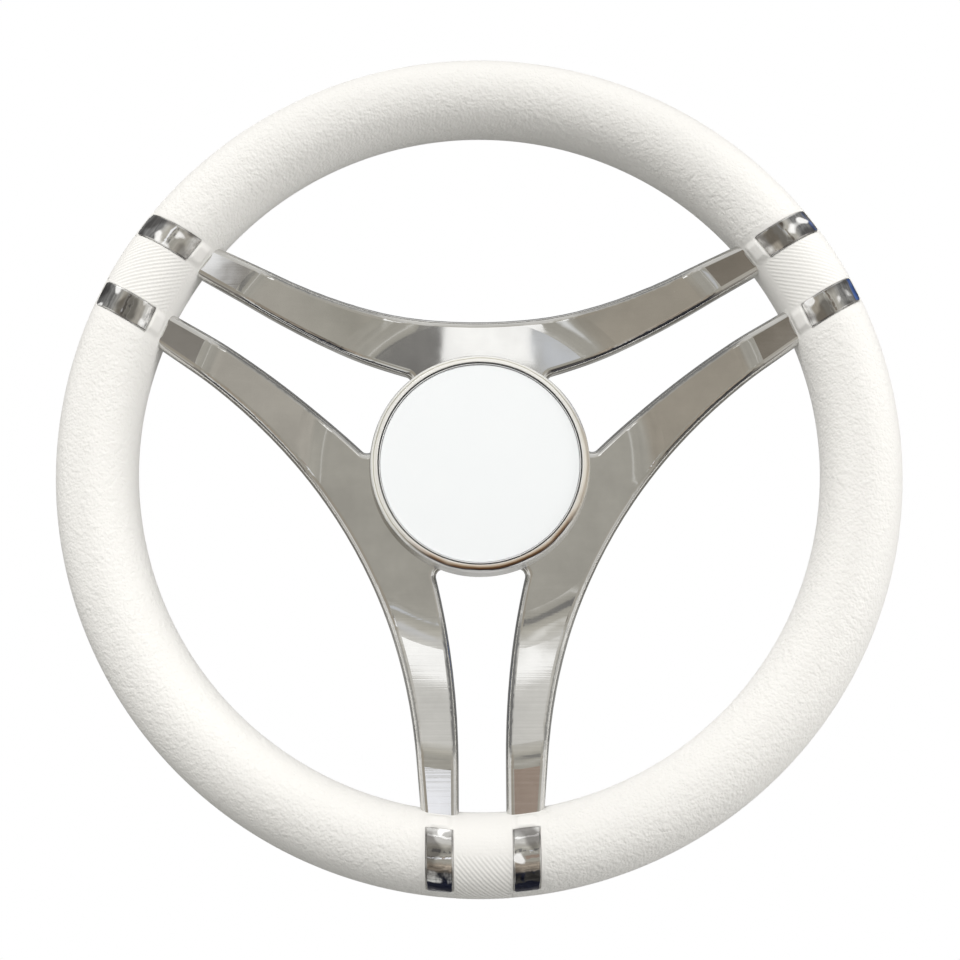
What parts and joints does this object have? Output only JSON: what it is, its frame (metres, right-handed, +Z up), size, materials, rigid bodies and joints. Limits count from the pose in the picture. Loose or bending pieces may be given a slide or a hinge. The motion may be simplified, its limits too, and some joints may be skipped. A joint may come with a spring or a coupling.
{
  "type": "boat steering wheel",
  "caption": "Dished boat steering wheel: foam grip on a round rim, paired curved polished spokes, polished bands in the grip, and a hub with a pull-off cap and a tapered boss.",
  "frame": {"origin": "on the wheel's axis, at the back face of the hub boss, where the large end of the shaft taper lies", "axes": "+Y along the helm shaft, away from the driver; +Z up with one pair of arms pointing straight down; +X to the driver's right"},
  "size_m": [0.343, 0.0639, 0.343],
  "materials": {
    "polished_stainless": "mirror polished stainless",
    "band_stainless": "mirror polished stainless",
    "ring_stainless": "turned and polished stainless",
    "bar_steel": "plain bar",
    "boss_steel": "turned",
    "screw_steel": "bright",
    "grip_foam": "leather grained soft foam skin",
    "cap_chrome": "chromed plastic",
    "cap_white": "satin, fine grained",
    "seal_rubber": "black"
  },
  "bodies": {
    "wheel": {"spoke_frame": "polished_stainless", "rim_core": "bar_steel", "grip": "grip_foam", "band_left_upper": "band_stainless", "band_left_lower": "band_stainless", "band_right_upper": "band_stainless", "band_right_lower": "band_stainless", "band_bottom_left": "band_stainless", "band_bottom_right": "band_stainless", "hub_ring": "ring_stainless", "hub_boss": "boss_steel", "boss_screws": "screw_steel"},
    "centre_cap": {"cap_body": "cap_chrome", "cap_insert": "cap_white", "cap_seal": "seal_rubber"}
  },
  "joints": [
    {"name": "cap_pull", "type": "slide", "parent": "wheel", "child": "centre_cap", "axis": [0, -1, 0], "range_m": [0, 0.03]}
  ]
}
